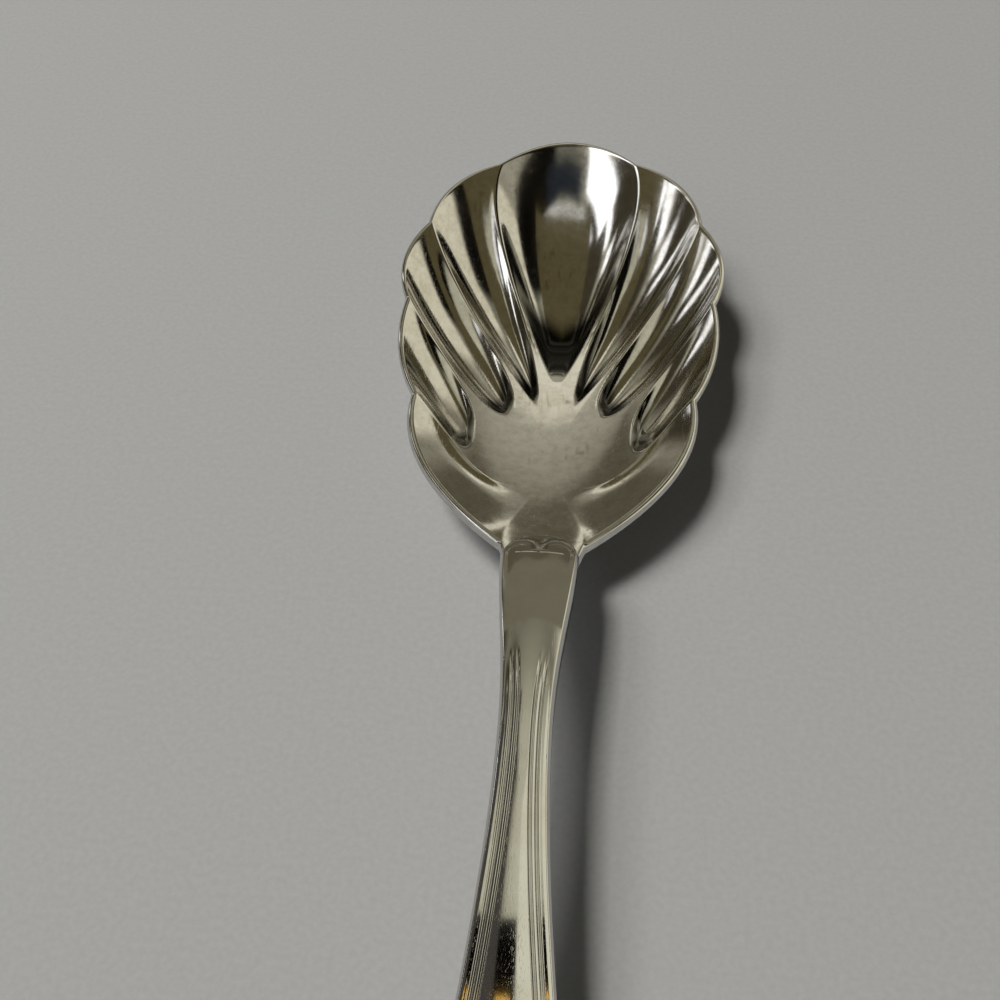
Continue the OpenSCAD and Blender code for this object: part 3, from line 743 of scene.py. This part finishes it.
def thread_tree():
    sockets = {"Handle": "Geometry", **{n: "Float" for n in thread_sizes}, "Material": "Material"}
    tree, given = new_tree("Roll the threads", sockets, {"Geometry": "Geometry"})
    set_in, behind, threaded = (add(tree, ATTRIBUTE, [name], out="Attribute")
                                for name in ("inset", "behind", "threaded"))

    def groove(start):
        """One groove: half a sine wave over its width."""
        into = add(tree, "SUBTRACT", [set_in, start])
        for operation, value in (("DIVIDE", given["Groove width"]), ("MAXIMUM", 0.0),
                                 ("MINIMUM", 1.0), ("MULTIPLY", math.pi)):
            into = add(tree, operation, [into, value])
        return add(tree, "SINE", [into])

    def eased(value, start, span):
        past = add(tree, "SUBTRACT", [value, start])
        return add(tree, RAMP, [past, 0.0, span], **SMOOTH)

    first_end = add(tree, "ADD", [given["Bead width"], given["Groove width"]])
    second = add(tree, "ADD", [first_end, given["Thread width"]])
    half_bead = add(tree, "MULTIPLY", [given["Bead width"], 0.5])
    half_groove = add(tree, "MULTIPLY", [given["Groove width"], 0.5])
    second_middle = add(tree, "ADD", [second, half_groove])
    bed = add(tree, "SUBTRACT", [eased(set_in, half_bead, half_bead),
                                 eased(set_in, second_middle, half_groove)])
    both = add(tree, "ADD", [groove(given["Bead width"]), groove(second)])
    cut_share = add(tree, "SUBTRACT", [1.0, given["Bed share"]])
    cut = add(tree, "MULTIPLY", [both, cut_share])
    sunk = add(tree, "MULTIPLY_ADD", [bed, given["Bed share"], cut])
    fade = eased(behind, given["Start"], given["Fade length"])
    for factor in (fade, threaded, given["Groove depth"], given["Unit"], -1.0):
        sunk = add(tree, "MULTIPLY", [sunk, factor])
    down = add(tree, COMBINE, [0.0, 0.0, sunk])
    rolled = add(tree, "GeometryNodeSetPosition", {"Geometry": given["Handle"], "Offset": down})
    end_tree(tree, rolled, given["Material"])
    return tree


handle_steel = bpy.data.materials.new("polished_stainless_struck")
handle = run_tree(handle_blank, thread_tree(), thread_sizes, handle_steel, "handle_struck")
print("handle:", len(handle.data.polygons), "faces, box", box_mm(handle))

# %% [markdown]
# ## The braze
# The lip is brazed down onto the heel of the bowl. The braze shows only as a thin dark line
# round the lip, so it is a small loft that follows the same outline. In Python a ring can
# read the bowl's height right under it, which keeps the layer even.

# %% The braze seam
fillet_leg, seam_edge, seam_rings, tongue_rings = 0.3, braze_t * 0.2, 60, 13
fillet_turn = np.linspace(0, math.pi / 2, 7)


def seam_ring(u):
    """A ring across the braze: its fillet's hollow face, the hidden layer, and its seat on the bowl."""
    x, h = outline(u)
    beside = mix(heel_half, tongue_w / 2, max(0.0, h) / tongue_l)
    d = max(0.0, x - beside + braze_t)
    leg = mix(fillet_leg, seam_edge, ease(h / (lip_mid / 2)))
    lifts = seam_edge + (braze_t + leg - seam_edge) * (1 - np.cos(fillet_turn))
    top = inset(np.full(len(fillet_turn), u), d - leg + leg * np.sin(fillet_turn))
    foot = inset(np.full(2, u), np.array([d - leg, d]))
    inner = inset(np.array([u]), d)
    cross = inner * np.c_[ring_across, np.ones(len(ring_across))]
    up = np.concatenate([top * flip, inner * flip, cross * flip, inner, top[::-1]])
    down = np.concatenate([foot, cross, foot[::-1] * flip])
    lift = np.concatenate([lifts, np.full(len(cross) + 2, braze_t), lifts[::-1], np.zeros(len(down))])
    plan = np.concatenate([up, down])
    return np.column_stack([plan[:, 0], heel_y - plan[:, 1], dish_height(plan[:, 0], -plan[:, 1]) + lift])


beside_tongue = side_place(mix(lip_mid, tongue_l, np.linspace(0, 1, tongue_rings)[1:]))
seam_u = np.concatenate([np.linspace(0, 1, seam_rings), beside_tongue])
points, faces = loft([seam_ring(u) for u in seam_u], len(fillet_turn) + 1, 2, len(ring_across))
seam_mesh = mesh_of("braze_fillet", (points * MM).tolist(), faces)
seam_mesh.shade_smooth()
braze_fillet = in_scene("braze_fillet", seam_mesh)
print("braze:", len(faces), "faces, box", box_mm(braze_fillet))

# %% [markdown]
# ## Materials
# All three metals are shown by what they reflect. The steel's own colour is a pale warm grey,
# and its detail is in the polish: hairline scratches from wiping, the slight waviness of
# pressed sheet, and dried water marks, which are a little brown and dull. The braze is painted
# dark, and the flute corners and the foot of the lobes are painted near black, all as painted
# shade. The patterns are noise in object space, each with its real size in millimetres.

# %% Material helpers
NOISE, MAPPING, BUMP = "ShaderNodeTexNoise", "ShaderNodeMapping", "ShaderNodeBump"
SHADER, SURFACE = "ShaderNodeBsdfPrincipled", "ShaderNodeOutputMaterial"
# A mix of colours takes its share and its two colours at inputs 0, 6 and 7, and gives output 2.
MIX, COLOUR_MIX = "ShaderNodeMix", {"out": 2, "data_type": "RGBA"}


def linear(hex_colour):
    """An sRGB hex colour as linear red, green, blue and alpha."""
    channels = [int(hex_colour[i:i + 2], 16) / 255 for i in (1, 3, 5)]
    return [c / 12.92 if c <= 0.04045 else ((c + 0.055) / 1.055) ** 2.4 for c in channels] + [1.0]


def start_material(material):
    """Clears a material and gives its tree and the place on the object in millimetres."""
    material.use_nodes = True
    tree = material.node_tree
    tree.nodes.clear()
    place = add(tree, "ShaderNodeTexCoord", out="Object")
    return tree, add(tree, MAPPING, {"Vector": place, "Scale": [1 / MM] * 3})


def scratch_mask(tree, per_mm, sets):
    """Thin straight scratches: in each direction, noise drawn out along it and cut off near its top."""
    strongest, soft = 0.0, 0.12
    for turn_deg, width_mm, length_mm, kept in sets:
        scale = [1 / width_mm, 1 / length_mm, 1 / width_mm]
        turned = add(tree, MAPPING,
                     {"Vector": per_mm, "Rotation": [0, 0, math.radians(turn_deg)], "Scale": scale})
        noise = add(tree, NOISE, {"Vector": turned, "Scale": 1.0, "Detail": 1.0}, out="Fac")
        lines = add(tree, RAMP, [noise, kept, kept + soft])
        strongest = add(tree, "MAXIMUM", [strongest, lines])
    return strongest


def smeared(tree, per_mm, size_mm, steel, film, span):
    """The pattern that wiping leaves, and the steel's colour filmed over where it is strong."""
    values = {"Vector": per_mm, "Scale": 1 / size_mm, "Detail": 3.0, "Roughness": 0.6}
    smear = add(tree, NOISE, values, out="Fac")
    filmed = add(tree, RAMP, [smear, *span])
    return smear, add(tree, MIX, {0: filmed, 6: linear(steel), 7: linear(film)}, **COLOUR_MIX)


def show_metal(tree, colour, rough, normal):
    """Ends a metal's tree with its shader."""
    look = {"Base Color": colour, "Roughness": rough, "Normal": normal, "Metallic": 1.0}
    add(tree, SURFACE, [add(tree, SHADER, look)], out=None)


print("sRGB mid grey in linear light:", round(linear("#808080")[0], 3))

# %% [markdown]
# The bowl is pressed from sheet and buffed in all directions. Its mirror is slightly wavy,
# wiping has scratched it across, and water has dried on it in dots and runs. The corners
# where a flute drops from the palm are painted near black, as painted shade. The corner share
# comes with the mesh, because only the flute's own measures tell where a corner is.

# %% Polished stainless, pressed: the bowl
# Each set of scratches: direction in degrees, width and length in mm, share of noise cut off.
bowl_scratches = (
    (8, 0.09, 9.0, 0.65), (-35, 0.08, 6.0, 0.67), (62, 0.09, 7.0, 0.68), (100, 0.08, 5.0, 0.69))
smear_mm, spot_mm, mottle_mm, wave_mm, run_mm = 6.25, 2.38, 1.25, 3.333, (0.667, 2.5, 2.5)
wave_depth, scratch_depth = 0.012 * MM, 0.004 * MM


def dress_bowl_steel(material):
    """18/10 stainless, pressed and buffed: a clear mirror, slightly wavy, wiped and water marked, with
    painted shade in the flute corners.
    """
    tree, per_mm = start_material(material)
    # The near-black colour is painted shade for the flute corners.
    brown, corner_shade_colour = linear("#8F8371"), linear("#0F0D0A")
    scratches = scratch_mask(tree, per_mm, bowl_scratches)
    smear, hazed = smeared(tree, per_mm, smear_mm, "#D3D2CF", "#B9B3A6", (0.45, 0.75, 0.0, 0.35))
    spots = add(tree, "ShaderNodeTexVoronoi", {"Vector": per_mm, "Scale": 1 / spot_mm}, out="Distance")
    dot = add(tree, RAMP, [spots, 0.24, 0.08, 0.0, 1.0], **SMOOTH)
    patchy = add(tree, RAMP, [smear, 0.52, 0.66])
    marks = add(tree, "MULTIPLY", [dot, patchy])
    faint = add(tree, "MULTIPLY", [marks, 0.55])

    values = {"Vector": per_mm, "Scale": 1 / mottle_mm, "Detail": 5.0, "Roughness": 0.7}
    mottle = add(tree, NOISE, values, out="Fac")
    mottled = add(tree, RAMP, [mottle, 0.42, 0.7, 0.0, 0.3])
    hazed = add(tree, MIX, {0: mottled, 6: hazed, 7: brown}, **COLOUR_MIX)
    drawn = add(tree, MAPPING, {"Vector": per_mm, "Scale": [1 / length for length in run_mm]})
    runs = add(tree, NOISE, {"Vector": drawn, "Scale": 1.0, "Detail": 3.0}, out="Fac")
    runs = add(tree, RAMP, [runs, 0.56, 0.7, 0.0, 0.5])
    runs = add(tree, "MULTIPLY", [runs, patchy])
    for share in (runs, faint):
        hazed = add(tree, MIX, {0: share, 6: hazed, 7: brown}, **COLOUR_MIX)
    # Painted shade: the flute corners are mixed towards near black by the corner share.
    deep = add(tree, "ShaderNodeAttribute", attribute_name="corner", out="Fac")
    deep = add(tree, "MULTIPLY", [deep, 0.98])
    colour = add(tree, MIX, {0: deep, 6: hazed, 7: corner_shade_colour}, **COLOUR_MIX)

    rough = add(tree, RAMP, [smear, 0.3, 0.75, 0.055, 0.13])
    rough = add(tree, "MULTIPLY_ADD", [marks, 0.12, rough])
    rough = add(tree, "MULTIPLY_ADD", [scratches, 0.10, rough])
    wave = add(tree, NOISE, {"Vector": per_mm, "Scale": 1 / wave_mm, "Detail": 2.0}, out="Fac")
    waved = add(tree, BUMP, {"Height": wave, "Strength": 1.0, "Distance": wave_depth})
    scored = add(tree, BUMP, {"Height": scratches, "Normal": waved, "Strength": 0.35,
                              "Distance": scratch_depth}, invert=True)
    show_metal(tree, colour, rough, scored)


dress_bowl_steel(bowl_steel)
print("material:", bowl_steel.name, len(bowl_steel.node_tree.nodes), "nodes")

# %% [markdown]
# The handle is struck from bar and buffed lengthwise, so most of its hairlines run along it.
# The foot of its two lobes, which the mesh marks, is painted dark as painted shade.

# %% Polished stainless, struck: the handle
handle_scratches = ((0, 0.08, 14.0, 0.62), (4, 0.10, 9.0, 0.66), (-50, 0.09, 4.0, 0.70))
handle_smear_mm = 5.0


def dress_handle_steel(material):
    """The same steel, struck from bar and buffed lengthwise, with painted shade at the lobes."""
    tree, per_mm = start_material(material)
    scratches = scratch_mask(tree, per_mm, handle_scratches)
    smear, hazed = smeared(tree, per_mm, handle_smear_mm, "#D0CFCC", "#B6B0A3", (0.42, 0.72, 0.0, 0.4))
    # Painted shade: the foot and the bead of the lobes are mixed towards dark brown.
    painted_dark = add(tree, "ShaderNodeAttribute", attribute_name="lobe_shade", out="Fac")
    painted_dark = add(tree, "MULTIPLY", [painted_dark, 0.8])
    colour = add(tree, MIX, {0: painted_dark, 6: hazed, 7: linear("#2A2620")}, **COLOUR_MIX)
    rough = add(tree, RAMP, [smear, 0.3, 0.75, 0.06, 0.14])
    rough = add(tree, "MULTIPLY_ADD", [scratches, 0.08, rough])
    scored = add(tree, BUMP, {"Height": scratches, "Strength": 0.4, "Distance": scratch_depth},
                 invert=True)
    show_metal(tree, colour, rough, scored)


dress_handle_steel(handle_steel)
print("material:", handle_steel.name, len(handle_steel.node_tree.nodes), "nodes")

# %% [markdown]
# Silver braze is softer than steel. It keeps fine pores, and its colours are painted dark, as
# painted shade for the dark line in the seam round the lip.

# %% Silver braze
pore_mm, pore_depth = 0.25, 0.01 * MM


def dress_braze(material):
    """Silver braze, run in and lightly buffed: softer and a little yellower than the steel, its colours
    painted dark as shade in the seam.
    """
    tree, per_mm = start_material(material)
    # Painted shade: both braze colours are darkened for the shade in the seam; the pores vary the tone
    # between them.
    shaded_silver, painted_dark = linear("#7F796C"), linear("#3A352B")
    pores = add(tree, NOISE, {"Vector": per_mm, "Scale": 1 / pore_mm, "Detail": 3.0}, out="Fac")
    dulled = add(tree, RAMP, [pores, 0.4, 0.7])
    colour = add(tree, MIX, {0: dulled, 6: shaded_silver, 7: painted_dark}, **COLOUR_MIX)
    rough = add(tree, RAMP, [pores, 0.3, 0.7, 0.2, 0.4])
    pitted = add(tree, BUMP, {"Height": pores, "Strength": 0.5, "Distance": pore_depth})
    show_metal(tree, colour, rough, pitted)


silver_braze = bpy.data.materials.new("silver_braze_buffed")
dress_braze(silver_braze)
seam_mesh.materials.append(silver_braze)
print("material:", silver_braze.name, len(silver_braze.node_tree.nodes), "nodes")

# %% [markdown]
# ## The pieces on their body
# The spoon has no moving parts, so every piece rides on the one body.

# %% Bodies and nodes; the slot column is not used
for piece, node, slot in (
        (bowl, "bowl", "polished_steel_bowl"), (handle, "handle", "polished_steel_handle"),
        (braze_fillet, "braze_seam", "silver_braze")):
    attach(piece, "root")
    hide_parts(node)
print("pieces on the body:", [p.name for p in (bowl, handle, braze_fillet)])

# %% [markdown]
# ## The floor
# One pale matt sheet with a fine fibre, large enough to fill the picture. Polished metal
# shows its room, so the floor's colour matters for the outside of the bowl too.

# %% Floor
floor_half, fibre_mm = 6, 0.625
corners = [(x * floor_half, y * floor_half, 0) for x, y in ((-1, -1), (1, -1), (1, 1), (-1, 1))]
floor_mesh = mesh_of("floor", corners, [(0, 1, 2, 3)])
floor = in_scene("floor", floor_mesh)
paper = bpy.data.materials.new("pale_paper")
tree, per_mm = start_material(paper)
fibres = add(tree, NOISE, {"Vector": per_mm, "Scale": 1 / fibre_mm, "Detail": 4.0}, out="Fac")
tone = add(tree, RAMP, [fibres, 0.3, 0.7])
colour = add(tree, MIX, {0: tone, 6: linear("#949598"), 7: linear("#9A9B9E")}, **COLOUR_MIX)
add(tree, SURFACE, [add(tree, SHADER, {"Base Color": colour, "Roughness": 0.9})], out=None)
floor_mesh.materials.append(paper)
print("floor:", paper.name, 2 * floor_half, "m wide")

# %% [markdown]
# ## The lights
# Two soft boxes at the left, one above the other, throw the shadow to the right. They are
# left out of reflections, because the bright patches in the flutes are drawn in the world,
# where their edges can be placed to a degree.

# %% The soft boxes at the left
key_turn, key_away, key_size = -84, 1.3, (0.3, 0.26)
side = math.radians(key_turn)
for name, height, energy in (("left_soft_box", 58, 4.6), ("upper_soft_box", 71, 14.5)):
    key_data = bpy.data.lights.new(name, "AREA")
    key_data.shape = "RECTANGLE"
    key_data.size, key_data.size_y = key_size
    key_data.energy = energy
    key_data.color = linear("#FFFCF2")[:3]
    key_light = in_scene(name, key_data)
    up = math.radians(height)
    key_way = Vector((math.sin(side) * math.cos(up), math.cos(side) * math.cos(up), math.sin(up)))
    key_light.location = key_way * key_away
    key_light.rotation_euler = key_way.to_track_quat("Z", "Y").to_euler()
    key_light.visible_glossy = False
    print(name, "at", [round(c, 2) for c in key_light.location], "m")

# %% [markdown]
# ## The world
# Polished metal shows the room, not itself, so the room is built round it: a warm grey sweep
# that brightens upwards, with a row of soft boxes and dark flags that the flutes pick up,
# each given by its direction seen from the spoon. The camera sees one plain grey instead,
# and diffuse surfaces get a few hundredths of it, so that the two soft boxes shape the shadow.

# %% The world: a sweep with soft boxes and flags
sweep = [(0, "#969180"), (22, "#918C7B"), (30, "#B2AE9C"), (38, "#B2AE9C"), (46, "#7E7B6C"),
         (60, "#A19E89"), (70, "#C2BFA9"), (90, "#D6D3BC")]
# Each box: its direction from the tip and its half width, the softness of its sides, its
# height above the floor, half height and softness, all in degrees; its colour and strength.
boxes = [
    (64, 26, 4, 20, 18.5, 2.5, "#ECE6CE", 1.0),
    (115, 30, 8, 9, 9, 3, "#ECE6CE", 1.0),
    (112, 54, 6, 50, 16, 3, "#0E0C09", 1.0),
    (178, 26, 5, 54, 6, 3, "#242A33", 1.0),
    (170, 36, 8, 63.5, 2.5, 1.5, "#DAD8D2", 1.0),
    (-3, 28, 4, 10, 13.5, 1, "#625D4C", 1.0),
    (-42, 16, 5, 37, 8, 4, "#85816F", 1.0),
    (28, 9, 4, 40, 7, 3, "#85816F", 1.0),
    (-90, 52, 8, 60, 17, 5, "#443E30", 1.0),
    (-80, 40, 5, 20, 15, 3, "#443E30", 1.0),
    (-126, 22, 3, 43, 11, 3, "#FBFDFF", 2.6),
    (-133, 20, 5, 66, 5, 3, "#FFFFFF", 1.1),
    (-140, 26, 8, 11, 10, 4, "#FFFFFF", 1.4),
    (-95, 11, 4, 40, 3.5, 2, "#FFFFFF", 2.0),
    (-73, 6, 3, 31, 4.5, 2, "#FFFFFF", 1.7),
    (-57.5, 2.5, 1.5, 16, 9, 3, "#FFFFFF", 1.7)]
backdrop, diffuse_share = "#BDBDB8", 0.07


def dress_world(tree):
    """The sweep by height, then the boxes laid over it one by one."""
    direction = add(tree, "ShaderNodeTexCoord", out="Generated")
    ray = add(tree, SEPARATE, [direction], out=None).outputs
    turn = add(tree, "ARCTAN2", [ray["X"], ray["Y"]])
    turn = add(tree, "DEGREES", [turn])
    height = add(tree, "ARCSINE", [ray["Z"]])
    height = add(tree, "DEGREES", [height])
    share = add(tree, "DIVIDE", [height, 90.0])
    ramp = add(tree, "ShaderNodeValToRGB", [share], out=None)
    stops = ramp.color_ramp.elements
    while len(stops) < len(sweep):
        stops.new(1.0)
    for stop, (degrees, tint) in zip(stops, sweep):
        stop.position, stop.color = degrees / 90, linear(tint)
    colour = ramp.outputs["Color"]
    for middle, half, soft, level, half_height, soft_height, tint, strength in boxes:
        share = 1.0
        for angle, at, reach, blur in (
                (turn, middle, half, soft), (height, level, half_height, soft_height)):
            off = add(tree, "SUBTRACT", [angle, at])
            off = add(tree, "WRAP", [off, 180.0, -180.0])
            off = add(tree, "ABSOLUTE", [off])
            inside = add(tree, RAMP, [off, reach - blur, reach + blur, 1.0, 0.0], **SMOOTH)
            share = add(tree, "MULTIPLY", [share, inside])
        light = [c * strength for c in linear(tint)[:3]] + [1.0]
        colour = add(tree, MIX, {0: share, 6: colour, 7: light}, **COLOUR_MIX)
    seen = add(tree, "ShaderNodeLightPath", out=None).outputs
    plain = add(tree, MIX, {0: seen["Is Camera Ray"], 6: colour, 7: linear(backdrop)}, **COLOUR_MIX)
    dimmer = add(tree, "MULTIPLY_ADD", [seen["Is Diffuse Ray"], diffuse_share - 1, 1.0])
    tree.links.new(plain, tree.nodes["Background"].inputs["Color"])
    tree.links.new(dimmer, tree.nodes["Background"].inputs["Strength"])


world = bpy.data.worlds.new("studio")
world.use_nodes = True
dress_world(world.node_tree)
bpy.context.scene.world = world
print("world:", len(boxes), "boxes,", len(world.node_tree.nodes), "nodes")

# %% [markdown]
# ## Cards and flags
# What the palm and the handle's face mirror lies almost straight above them, closer than a
# drawn sky can tell apart. So small glowing cards hang a few centimetres over the spoon, as a
# photographer would hold them. Only reflections see them.

# %% Cards and flags just over the spoon
# Each one: its height in millimetres, its colour, and its corners seen from above.
cards = {
    "brown_flag": (40, "#5E563C", [(-12, 54), (14, 54), (14, 76), (-12, 76)]),
    "black_flag": (40, "#050403", [(-7, -64), (1, -64), (1, -27), (-7, -27)]),
    "grey_flag": (40, "#4C4944", [(-40, -64), (-7, -64), (-7, 8), (-40, 8)]),
    "cream_card": (40, "#F0EED8", [(2, -64), (30, -64), (30, 10), (12, 10), (1, -12)]),
    "tip_card": (40, "#F6F1DC", [(-17, 77), (12, 77), (12, 86), (-17, 86)]),
    "lip_flag": (20, "#7F7A68", [(-12, 9), (12, 9), (12, 34), (-12, 34)]),
    "amber_card": (39, "#FFC860", [(-6, -42), (-1, -42), (-1, -36), (-6, -36)])}
for name, (high, tint, plan) in cards.items():
    corners = [(x * MM, y * MM, high * MM) for x, y in plan]
    sheet = mesh_of(name, corners, [tuple(reversed(range(len(plan))))])
    flag = in_scene(name, sheet)
    cloth = bpy.data.materials.new(name + "_cloth")
    cloth.use_nodes = True
    cloth.node_tree.nodes.clear()
    glow = add(cloth.node_tree, "ShaderNodeEmission", [linear(tint), 1.0])
    add(cloth.node_tree, SURFACE, [glow], out=None)
    sheet.materials.append(cloth)
    flag.visible_camera = flag.visible_diffuse = flag.visible_shadow = False
print("cards and flags:", list(cards))
